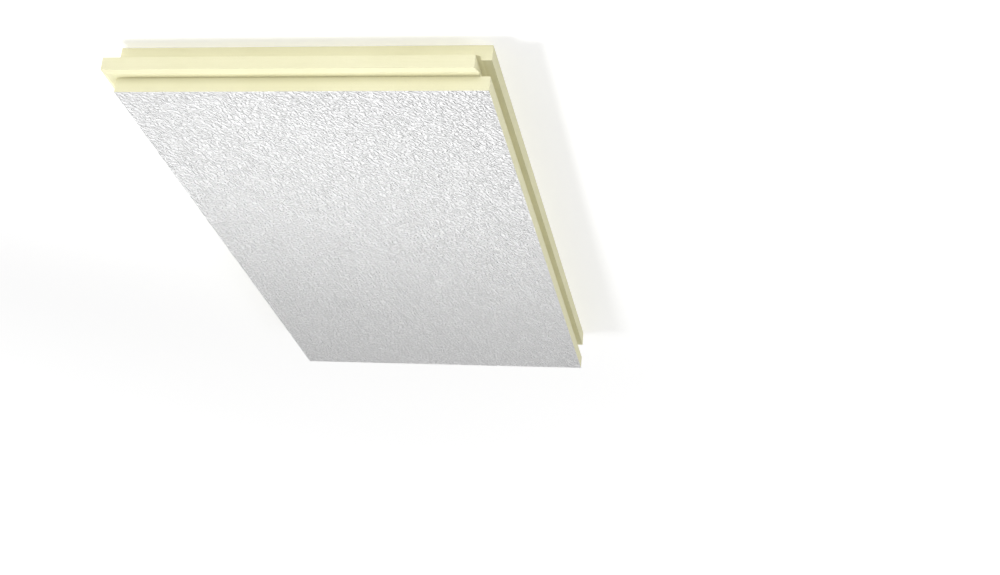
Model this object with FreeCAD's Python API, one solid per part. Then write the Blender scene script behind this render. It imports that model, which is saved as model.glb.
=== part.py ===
import FreeCAD, Part
import os

from FreeCAD import Vector

# Polyurethane insulation board, in millimetres, lying on its plain back face with the white face up.
# The origin is the centre of the back face, +Y runs along the board and +Z through its thickness.

# Covering size: what one board covers once its tongues are pushed into the next boards
cover_width = 600.0
cover_length = 1200.0
board_thickness = 80.0

# Facings bonded to the foam: the white one includes the depth of its embossing
white_facing_thickness = 0.4
back_facing_thickness = 0.2

# Groove along the -X side and the +Y end, between the lip on the back and the lip under the white face
back_lip = 27.0
white_lip = 25.0
groove_depth = 22.0

# Both lead-in bevels narrow the last stretch of groove and tongue, more under the white face
bevel_run = 7.0
white_bevel_drop = 4.0
back_bevel_drop = 1.5

# Tongue along the +X side and the -Y end: what it leaves free in the groove
tip_clearance = 2.0
side_clearance = 0.25

# Heights of the groove's two walls above the back face
groove_bottom = back_lip
groove_top = board_thickness - white_lip

# How far the tongue stands out, and how deep its root starts inside the foam that it grows out of
tongue_length = groove_depth - tip_clearance
tongue_root = groove_depth

# The groove cutters start outside the board and run past its ends, through the tongues
cutter_overrun = tongue_length + groove_depth


def joint_outline(start, reach, low, high):
    """Section of a tongue or groove: (distance out from the edge, height), bevelled at its far end."""
    straight = reach - bevel_run
    return [
        (start, low),
        (straight, low),
        (reach, low + back_bevel_drop),
        (reach, high - white_bevel_drop),
        (straight, high),
        (start, high),
    ]


def closed_wire(points):
    return Part.makePolygon(points + points[:1])


def sheet(bottom, thickness):
    """Flat layer as large as the covering size, centred on the origin."""
    corner = Vector(-cover_width / 2, -cover_length / 2, bottom)
    return Part.makeBox(cover_width, cover_length, thickness, corner)


def corner_tongue():
    """One tongue that runs down the +X side, turns the corner in a mitre and follows the -Y end."""
    side = cover_width / 2
    end = cover_length / 2
    path = Part.makePolygon([
        Vector(side, end, 0),
        Vector(side, -end, 0),
        Vector(-side, -end, 0),
    ])
    outline = joint_outline(
        -tongue_root,
        tongue_length,
        groove_bottom + side_clearance,
        groove_top - side_clearance,
    )
    section = closed_wire([Vector(side + out, end, height) for out, height in outline])
    mitred_corner = 1
    sweep = Part.BRepOffsetAPI.MakePipeShell(path)
    sweep.setTransitionMode(mitred_corner)
    sweep.add(section)
    sweep.build()
    sweep.makeSolid()
    return sweep.shape()


def side_groove():
    """Cutter for the groove in the -X side, long enough to pass through the end tongue."""
    side = -cover_width / 2
    start = -cover_length / 2 - cutter_overrun
    outline = joint_outline(-cutter_overrun, groove_depth, groove_bottom, groove_top)
    section = closed_wire([Vector(side + depth, start, height) for depth, height in outline])
    return Part.Face(section).extrude(Vector(0, cover_length + 2 * cutter_overrun, 0))


def end_groove():
    """Cutter for the groove in the +Y end, long enough to pass through the side tongue."""
    end = cover_length / 2
    start = -cover_width / 2 - cutter_overrun
    outline = joint_outline(-cutter_overrun, groove_depth, groove_bottom, groove_top)
    section = closed_wire([Vector(start, end - depth, height) for depth, height in outline])
    return Part.Face(section).extrude(Vector(cover_width + 2 * cutter_overrun, 0, 0))


def foam_core():
    foam_thickness = board_thickness - back_facing_thickness - white_facing_thickness
    body = sheet(back_facing_thickness, foam_thickness)
    tongued = body.fuse(corner_tongue())
    return tongued.cut([side_groove(), end_groove()]).removeSplitter()


def white_facing():
    return sheet(board_thickness - white_facing_thickness, white_facing_thickness)


def back_facing():
    return sheet(0, back_facing_thickness)


os.makedirs("parts", exist_ok=True)
pieces = {
    "foam_core": foam_core(),
    "white_facing": white_facing(),
    "back_facing": back_facing(),
}
for name, shape in pieces.items():
    shape.exportStep("parts/" + name + ".step")
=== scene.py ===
import math

import bpy
import numpy as np
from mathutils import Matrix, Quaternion, Vector


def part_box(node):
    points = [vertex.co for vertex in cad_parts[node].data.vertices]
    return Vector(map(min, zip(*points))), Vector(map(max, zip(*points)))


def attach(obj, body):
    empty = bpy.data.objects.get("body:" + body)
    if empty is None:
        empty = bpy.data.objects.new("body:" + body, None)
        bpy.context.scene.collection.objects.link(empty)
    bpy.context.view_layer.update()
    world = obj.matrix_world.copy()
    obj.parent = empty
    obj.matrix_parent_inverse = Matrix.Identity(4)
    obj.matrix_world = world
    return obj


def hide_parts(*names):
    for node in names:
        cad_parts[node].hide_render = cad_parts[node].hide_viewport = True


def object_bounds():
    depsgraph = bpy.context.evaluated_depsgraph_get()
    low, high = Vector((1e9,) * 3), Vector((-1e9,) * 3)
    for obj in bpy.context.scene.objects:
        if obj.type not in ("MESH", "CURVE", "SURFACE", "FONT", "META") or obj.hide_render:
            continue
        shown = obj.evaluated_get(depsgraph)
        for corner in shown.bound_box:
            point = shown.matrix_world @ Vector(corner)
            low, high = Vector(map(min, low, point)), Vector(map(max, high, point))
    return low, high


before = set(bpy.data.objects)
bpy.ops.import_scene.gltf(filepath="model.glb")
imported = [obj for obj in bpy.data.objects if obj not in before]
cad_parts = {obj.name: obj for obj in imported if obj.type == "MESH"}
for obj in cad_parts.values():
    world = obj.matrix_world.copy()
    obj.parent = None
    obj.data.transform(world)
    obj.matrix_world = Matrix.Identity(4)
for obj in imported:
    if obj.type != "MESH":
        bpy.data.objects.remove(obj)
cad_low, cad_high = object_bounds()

# Lengths are in metres, in the part's own frame: +Z up, white face on top, +Y along the board.

# Camera: where it stands, what it looks at, its roll about the line of sight and its focal length in mm.
# The photograph shows the board overhead from below, so the camera is rolled almost upside down.
CAMERA_PLACE = Vector((-0.7912, -2.8691, 1.3570))
CAMERA_AIM = Vector((-0.1941, 0.1648, 0.0800))
CAMERA_ROLL = math.radians(-174.74)
CAMERA_LENS = 62.75

# Lamps: place, aim, width, height, power in watts and, for the slanting ones, spread in degrees.
# The slanting lamps stand to one side, so that the white face's relief shows. The near one is stronger.
# The fill stands across from them and reaches into the groove of the long side.
# The strips lie lower than the white face, so they light the foam's sides and leave that face alone.
LAMPS = {
    "slanting_near": ((2.2, -0.15, 2.3), (-0.25, -0.6, 0.08), 0.88, 0.88, 5.0, 39.0),
    "slanting_far": ((2.2, 1.0, 2.3), (-0.25, 0.55, 0.08), 0.88, 0.88, 0.96, 39.0),
    "groove_fill": ((-3.0, -0.2, 3.0), (-0.3, -0.2, 0.05), 1.6, 1.6, 20.0),
    "front_strip": ((-2.5, -10.9, 0.035), (0.0, -0.6, 0.035), 3.25, 0.06, 530.0),
    "side_strip": ((-7.0, -0.2, 0.035), (-0.3, -0.2, 0.035), 1.6, 0.06, 34.0),
    "back_strip": ((0.0, 3.1, 0.035), (0.0, 0.6, 0.035), 1.6, 0.06, 24.0),
}
SKY_STRENGTH = 0.48

# Floor: half its width, how far it lies under the part, and its paint.
# Seen by the camera it also glows, so that it is white, and less so near the part, so that the shadow shows.
# Nearness is 1 at the part's middle and falls by so much a metre along X and Y. Above its limit the glow is
# even.
FLOOR_HALF = 40.0
FLOOR_GAP = 0.0002
FLOOR_PAINT = (0.80, 0.80, 0.80, 1.0)
GLOW_NEAR = 0.41
GLOW_FAR = 0.74
NEARNESS_FALL = (0.45, 0.35, 1.0)
NEARNESS_LIMIT = 0.8

# Stucco relief in the mesh of the white facing: cells of its grid, depth, shortest and longest wave, and how
# steeply its heights level off at the crests and how far they lean towards them.
GRID_ACROSS = 220
GRID_ALONG = 440
RELIEF_DEPTH = 0.00034
RELIEF_SHORTEST = 0.0075
RELIEF_LONGEST = 0.0115
RELIEF_STEEPNESS = 0.8
RELIEF_LEAN = 0.25
RELIEF_SEED = 11

# Edges of the facing that turn by more than this are shaded sharp
SHARP_EDGE = math.radians(40.0)

# Fine waves on top of that relief, as a bump: patches per metre, waves per patch, how far from 0 to 1 they
# keep to one direction, and that direction in radians from +X
WAVES = {"Scale": 155.0, "Frequency": 0.8, "Anisotropy": 0.5, "Orientation": 0.95}

# Patterns of the materials, in features per metre, along each axis where there are three numbers
FOAM_MOTTLE = 14.0
FOAM_CELLS = 1100.0
FOAM_LINES = (1.5, 1.5, 420.0)
WHITE_CLOUDS = 5.0
WHITE_GRAIN = 700.0
WHITE_GLOSS = 60.0
FOIL_ROLLING = (900.0, 6.0, 1.0)
FOIL_WRINKLES = 18.0
FOIL_WRINKLE_STRETCH = (1.0, 0.4, 1.0)
FOIL_GLOSS = 25.0

# Bumps: strength and depth
FOAM_LINE_BUMP = (0.25, 0.0003)
FOAM_CELL_BUMP = (0.35, 0.0004)
WHITE_WAVE_BUMP = (1.0, 0.0027)
WHITE_GRAIN_BUMP = (1.0, 0.0006)
FOIL_WRINKLE_BUMP = (0.3, 0.002)
FOIL_ROLLING_BUMP = (0.1, 0.0002)

# Roughness, lowest and highest where it varies, strength of the gloss, and reach of the painted shade in foam
# corners
FOAM_ROUGHNESS = 0.85
WHITE_ROUGHNESS = (0.42, 0.52)
FOIL_ROUGHNESS = (0.30, 0.42)
FOAM_SPECULAR = 0.25
WHITE_SPECULAR = 0.15
FOAM_PAINTED_CORNER_SHADE_REACH = 0.015

# Colours, and tones that colours are multiplied by
FULL = (1.0, 1.0, 1.0)
FOAM_DEEP = (0.812, 0.785, 0.535)
FOAM_PALE = (0.845, 0.818, 0.572)
FOAM_CELL_TONE = (0.94, 0.935, 0.90)
FOAM_LINE_TONE = (0.985, 0.984, 0.975)
# Painted shade: the foam's colour is multiplied by this towards its inner corners, where shade falls
FOAM_PAINTED_CORNER_SHADE = (0.72, 0.71, 0.66)
# Painted shade: the white is darker in the valleys and on the slopes of the mesh relief than on its crests
WHITE_VALLEY_PAINTED_SHADE = (0.920, 0.921, 0.923)
WHITE_SLOPE_PAINTED_SHADE = (0.945, 0.945, 0.946)
WHITE_CREST = (0.950, 0.950, 0.950)
WHITE_CLOUD_TONE = (0.993, 0.993, 0.993)
# Painted shade: the white is multiplied by this in the hollows of the hammered waves
WHITE_HOLLOW_PAINTED_SHADE = (0.920, 0.920, 0.922)
FOIL_DULL = (0.74, 0.75, 0.76)
FOIL_BRIGHT = (0.81, 0.82, 0.83)


def shader(name):
    """A new node material, with its node tree and its Principled shader."""
    material = bpy.data.materials.new(name)
    material.use_nodes = True
    tree = material.node_tree
    return material, tree, tree.nodes["Principled BSDF"]


def node(tree, kind, **inputs):
    """Adds a node and sets its inputs by name, with underscores for spaces."""
    made = tree.nodes.new(kind)
    for name, value in inputs.items():
        made.inputs[name.replace("_", " ")].default_value = value
    return made


def own_place(tree):
    """The object's own coordinates, which the materials' patterns follow."""
    return tree.nodes.new("ShaderNodeTexCoord").outputs["Object"]


def ramp(tree, source, stops):
    """Colour ramp over a value, from (position, colour) stops."""
    made = tree.nodes.new("ShaderNodeValToRGB")
    elements = made.color_ramp.elements
    while len(elements) < len(stops):
        elements.new(0.5)
    for element, (position, colour) in zip(elements, stops):
        element.position = position
        element.color = (*colour, 1.0)
    tree.links.new(source, made.inputs["Fac"])
    return made.outputs["Color"]


def noise(tree, place, scale=1.0, detail=2.0, stretch=FULL):
    """Noise with so many features per metre, times the stretch along each axis."""
    mapping = node(tree, "ShaderNodeMapping", Scale=stretch)
    tree.links.new(place, mapping.inputs["Vector"])
    made = node(tree, "ShaderNodeTexNoise", Scale=scale, Detail=detail)
    tree.links.new(mapping.outputs["Vector"], made.inputs["Vector"])
    return made.outputs["Fac"]


def toned(tree, colour, tones):
    """A colour output multiplied by tone outputs, one after the other."""
    for tone in tones:
        made = node(tree, "ShaderNodeMix")
        made.data_type = "RGBA"
        made.blend_type = "MULTIPLY"
        made.inputs["Factor"].default_value = 1.0
        tree.links.new(colour, made.inputs["A"])
        tree.links.new(tone, made.inputs["B"])
        colour = made.outputs["Result"]
    return colour


def rough(tree, surface, source, limits):
    """Lets the roughness vary between its lowest and highest value, after a noise."""
    low, high = limits
    tone = ramp(tree, source, [(0.3, (low, low, low)), (0.7, (high, high, high))])
    tree.links.new(tone, surface.inputs["Roughness"])


def bump(tree, height, size, below=None):
    """Bump from a height output, of some strength and depth, on top of another bump if one is given."""
    strength, depth = size
    made = node(tree, "ShaderNodeBump", Strength=strength, Distance=depth)
    tree.links.new(height, made.inputs["Height"])
    if below is not None:
        tree.links.new(below, made.inputs["Normal"])
    return made.outputs["Normal"]


def maths(tree, operation, first, second=None):
    """Math node over one or two values, each an output or a number."""
    made = tree.nodes.new("ShaderNodeMath")
    made.operation = operation
    for socket, value in zip(made.inputs, (first, second)):
        if isinstance(value, float):
            socket.default_value = value
        elif value is not None:
            tree.links.new(value, socket)
    return made.outputs["Value"]


def hammered_height(tree, place):
    """Heights from 0 to 1 of short crossing waves, all of one depth."""
    waves = node(tree, "ShaderNodeTexGabor", **WAVES)
    waves.gabor_type = "2D"
    tree.links.new(place, waves.inputs["Vector"])
    level = node(tree, "ShaderNodeMapRange", From_Min=-1.0, From_Max=1.0)
    swing = maths(tree, "SINE", maths(tree, "MULTIPLY", waves.outputs["Phase"], math.tau))
    tree.links.new(swing, level.inputs["Value"])
    return level.outputs["Result"]


def foam_material():
    """Cream polyurethane foam, milled: fine cells, faint cutter lines, a slight mottle, and painted shade in
    its inner corners.
    """
    material, tree, surface = shader("foam")
    place = own_place(tree)
    mottle = ramp(tree, noise(tree, place, FOAM_MOTTLE, detail=3.0), [(0.30, FOAM_DEEP), (0.70, FOAM_PALE)])
    cells = node(tree, "ShaderNodeTexVoronoi", Scale=FOAM_CELLS)
    tree.links.new(place, cells.inputs["Vector"])
    cell_tone = ramp(tree, cells.outputs["Distance"], [(0.05, FOAM_CELL_TONE), (0.35, FULL)])
    lines = noise(tree, place, stretch=FOAM_LINES)
    line_tone = ramp(tree, lines, [(0.35, FOAM_LINE_TONE), (0.65, FULL)])
    # Painted shade: ambient occlusion darkens the foam's colour in its inner corners
    corner = node(tree, "ShaderNodeAmbientOcclusion", Distance=FOAM_PAINTED_CORNER_SHADE_REACH)
    corner.only_local = True
    corner.samples = 8
    painted_corner_shade = ramp(tree, corner.outputs["AO"], [(0.45, FOAM_PAINTED_CORNER_SHADE), (0.97, FULL)])
    colour = toned(tree, mottle, (cell_tone, line_tone, painted_corner_shade))
    tree.links.new(colour, surface.inputs["Base Color"])
    normal = bump(tree, lines, FOAM_LINE_BUMP)
    normal = bump(tree, cells.outputs["Distance"], FOAM_CELL_BUMP, below=normal)
    tree.links.new(normal, surface.inputs["Normal"])
    surface.inputs["Roughness"].default_value = FOAM_ROUGHNESS
    surface.inputs["Specular IOR Level"].default_value = FOAM_SPECULAR
    return material


def white_facing_material():
    """White lacquer over embossed foil: hammered fine relief, with painted shade that makes its hollows a
    touch greyer than its crests.
    """
    material, tree, surface = shader("white_facing")
    place = own_place(tree)
    relief = tree.nodes.new("ShaderNodeAttribute")
    relief.attribute_name = "relief"
    # Painted shade: the relief's heights darken the white in its valleys
    white = ramp(tree, relief.outputs["Fac"], [(0.0, WHITE_VALLEY_PAINTED_SHADE), (0.5, WHITE_SLOPE_PAINTED_SHADE), (1.0, WHITE_CREST)])
    cloud_tone = ramp(tree, noise(tree, place, WHITE_CLOUDS), [(0.35, WHITE_CLOUD_TONE), (0.65, FULL)])
    hammered = hammered_height(tree, place)
    # Painted shade: the hammered waves' hollows darken the white, on top of their bump
    painted_hollow_shade = ramp(tree, hammered, [(0.25, WHITE_HOLLOW_PAINTED_SHADE), (0.75, FULL)])
    colour = toned(tree, white, (cloud_tone, painted_hollow_shade))
    tree.links.new(colour, surface.inputs["Base Color"])
    normal = bump(tree, hammered, WHITE_WAVE_BUMP)
    normal = bump(tree, noise(tree, place, WHITE_GRAIN), WHITE_GRAIN_BUMP, below=normal)
    tree.links.new(normal, surface.inputs["Normal"])
    rough(tree, surface, noise(tree, place, WHITE_GLOSS, detail=3.0), WHITE_ROUGHNESS)
    surface.inputs["Specular IOR Level"].default_value = WHITE_SPECULAR
    return material


def back_facing_material():
    """Plain aluminium foil: brushed along the board by rolling, with slack wrinkles from the foam."""
    material, tree, surface = shader("back_facing")
    place = own_place(tree)
    rolling = noise(tree, place, detail=3.0, stretch=FOIL_ROLLING)
    tone = ramp(tree, rolling, [(0.3, FOIL_DULL), (0.7, FOIL_BRIGHT)])
    tree.links.new(tone, surface.inputs["Base Color"])
    rough(tree, surface, noise(tree, place, FOIL_GLOSS, detail=4.0), FOIL_ROUGHNESS)
    wrinkles = noise(tree, place, FOIL_WRINKLES, detail=4.0, stretch=FOIL_WRINKLE_STRETCH)
    normal = bump(tree, wrinkles, FOIL_WRINKLE_BUMP)
    normal = bump(tree, rolling, FOIL_ROLLING_BUMP, below=normal)
    tree.links.new(normal, surface.inputs["Normal"])
    surface.inputs["Metallic"].default_value = 1.0
    return material


def stucco_heights(across, along, width, length):
    """Embossing heights from 0 to 1 on a grid of points: band-limited noise, flattened at its peaks."""
    generator = np.random.default_rng(RELIEF_SEED)
    field = generator.standard_normal((along, across))
    frequency_x = np.fft.fftfreq(across, width / (across - 1))
    frequency_y = np.fft.fftfreq(along, length / (along - 1))
    frequency = np.hypot(frequency_x[None, :], frequency_y[:, None])
    band = (frequency > 1 / RELIEF_LONGEST) & (frequency < 1 / RELIEF_SHORTEST)
    field = np.fft.ifft2(np.fft.fft2(field) * band).real
    field /= field.std()
    return 0.5 + 0.5 * np.tanh(RELIEF_STEEPNESS * field + RELIEF_LEAN)


def white_facing_sheet():
    """Closed thin sheet over the whole cover area, its upper side embossed, its underside on the foam."""
    low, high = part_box("white_facing")
    across, along = GRID_ACROSS + 1, GRID_ALONG + 1
    xs = np.linspace(low.x, high.x, across)
    ys = np.linspace(low.y, high.y, along)
    grid_x, grid_y = np.meshgrid(xs, ys)
    heights = stucco_heights(across, along, high.x - low.x, high.y - low.y)
    grid_z = high.z - RELIEF_DEPTH * (1.0 - heights)
    index = np.arange(across * along).reshape(along, across)
    rim = np.concatenate([index[0, :-1], index[:-1, -1], index[-1, :0:-1], index[:0:-1, 0]])
    top = np.stack([grid_x, grid_y, grid_z], axis=-1).reshape(-1, 3)
    foot = top[rim] * (1.0, 1.0, 0.0) + (0.0, 0.0, low.z)
    faces = np.stack([index[:-1, :-1], index[:-1, 1:], index[1:, 1:], index[1:, :-1]], axis=-1)
    faces = faces.reshape(-1, 4).tolist()
    count = len(rim)
    base = len(top)
    for i in range(count):
        after = (i + 1) % count
        faces.append([base + i, base + after, int(rim[after]), int(rim[i])])
    faces.append([base + i for i in reversed(range(count))])
    mesh = bpy.data.meshes.new("white_facing_embossed")
    mesh.from_pydata(np.concatenate([top, foot]).tolist(), [], faces)
    relief = mesh.attributes.new("relief", "FLOAT", "POINT")
    relief.data.foreach_set("value", np.concatenate([heights.ravel(), np.zeros(count)]).astype(np.float32))
    mesh.shade_smooth()
    mesh.set_sharp_from_angle(angle=SHARP_EDGE)
    sheet = bpy.data.objects.new("white_facing_embossed", mesh)
    bpy.context.scene.collection.objects.link(sheet)
    mesh.materials.append(white_facing_material())
    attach(sheet, "root")
    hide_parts("white_facing")


def dress(name, material):
    """Gives a CAD node its finish."""
    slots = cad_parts[name].data.materials
    slots.clear()
    slots.append(material)


def light_path_share(tree):
    """1 for rays that show the background to the camera directly, in gloss or through glass, else 0."""
    path = tree.nodes.new("ShaderNodeLightPath")
    share = path.outputs["Is Camera Ray"]
    for name in ("Is Glossy Ray", "Is Transmission Ray"):
        share = maths(tree, "MAXIMUM", share, path.outputs[name])
    return share


def make_world():
    """Even sky light, which shows plain white to the camera, in gloss and through glass."""
    world = bpy.data.worlds.new("studio")
    bpy.context.scene.world = world
    world.use_nodes = True
    tree = world.node_tree
    light = tree.nodes["Background"]
    light.inputs["Color"].default_value = (1.0, 1.0, 1.0, 1.0)
    light.inputs["Strength"].default_value = SKY_STRENGTH
    white = node(tree, "ShaderNodeBackground", Color=(1.0, 1.0, 1.0, 1.0), Strength=1.0)
    mix = tree.nodes.new("ShaderNodeMixShader")
    tree.links.new(light_path_share(tree), mix.inputs["Fac"])
    tree.links.new(light.outputs["Background"], mix.inputs[1])
    tree.links.new(white.outputs["Background"], mix.inputs[2])
    tree.links.new(mix.outputs["Shader"], tree.nodes["World Output"].inputs["Surface"])


def make_floor():
    """Wide pale floor under the board. It shows white to the camera and keeps the board's shadow."""
    mesh = bpy.data.meshes.new("floor")
    corners = [(-FLOOR_HALF, -FLOOR_HALF, 0.0), (FLOOR_HALF, -FLOOR_HALF, 0.0)]
    corners += [(FLOOR_HALF, FLOOR_HALF, 0.0), (-FLOOR_HALF, FLOOR_HALF, 0.0)]
    mesh.from_pydata(corners, [], [(0, 1, 2, 3)])
    floor = bpy.data.objects.new("floor", mesh)
    floor.location.z = cad_low.z - FLOOR_GAP
    bpy.context.scene.collection.objects.link(floor)
    material, tree, surface = shader("floor")
    tree.nodes.remove(surface)
    paint = node(tree, "ShaderNodeBsdfDiffuse", Color=FLOOR_PAINT)
    glow = node(tree, "ShaderNodeEmission", Color=(1.0, 1.0, 1.0, 1.0))
    scaled = node(tree, "ShaderNodeMapping", Scale=NEARNESS_FALL)
    tree.links.new(own_place(tree), scaled.inputs["Vector"])
    nearness = tree.nodes.new("ShaderNodeTexGradient")
    nearness.gradient_type = "SPHERICAL"
    tree.links.new(scaled.outputs["Vector"], nearness.inputs["Vector"])
    fade = node(tree, "ShaderNodeMapRange", From_Max=NEARNESS_LIMIT, To_Min=GLOW_FAR, To_Max=GLOW_NEAR)
    tree.links.new(nearness.outputs["Fac"], fade.inputs["Value"])
    strength = maths(tree, "MULTIPLY", light_path_share(tree), fade.outputs["Result"])
    tree.links.new(strength, glow.inputs["Strength"])
    both = tree.nodes.new("ShaderNodeAddShader")
    tree.links.new(paint.outputs["BSDF"], both.inputs[0])
    tree.links.new(glow.outputs["Emission"], both.inputs[1])
    tree.links.new(both.outputs["Shader"], tree.nodes["Material Output"].inputs["Surface"])
    mesh.materials.append(material)


def turn_to(thing, place, aim, roll=0.0):
    """Adds a lamp or the camera at a place, turned to a point and rolled about its line of sight."""
    thing.location = place
    thing.rotation_mode = "QUATERNION"
    level = (Vector(aim) - Vector(place)).to_track_quat("-Z", "Y")
    thing.rotation_quaternion = level @ Quaternion((0.0, 0.0, 1.0), roll)
    bpy.context.scene.collection.objects.link(thing)


def make_lamp(name, place, aim, width, height, power, spread=180.0):
    """Rectangular area lamp, aimed at a point."""
    data = bpy.data.lights.new(name, "AREA")
    data.shape = "RECTANGLE"
    data.size = width
    data.size_y = height
    data.energy = power
    data.spread = math.radians(spread)
    turn_to(bpy.data.objects.new(name, data), place, aim)


def make_camera():
    """Camera that sees the board as the photograph does."""
    data = bpy.data.cameras.new("camera")
    data.lens = CAMERA_LENS
    camera = bpy.data.objects.new("camera", data)
    turn_to(camera, CAMERA_PLACE, CAMERA_AIM, CAMERA_ROLL)
    bpy.context.scene.camera = camera


dress("foam_core", foam_material())
dress("back_facing", back_facing_material())
white_facing_sheet()

make_world()
make_floor()
for lamp_name, lamp in LAMPS.items():
    make_lamp(lamp_name, *lamp)
make_camera()
bpy.context.scene.view_settings.view_transform = "Standard"
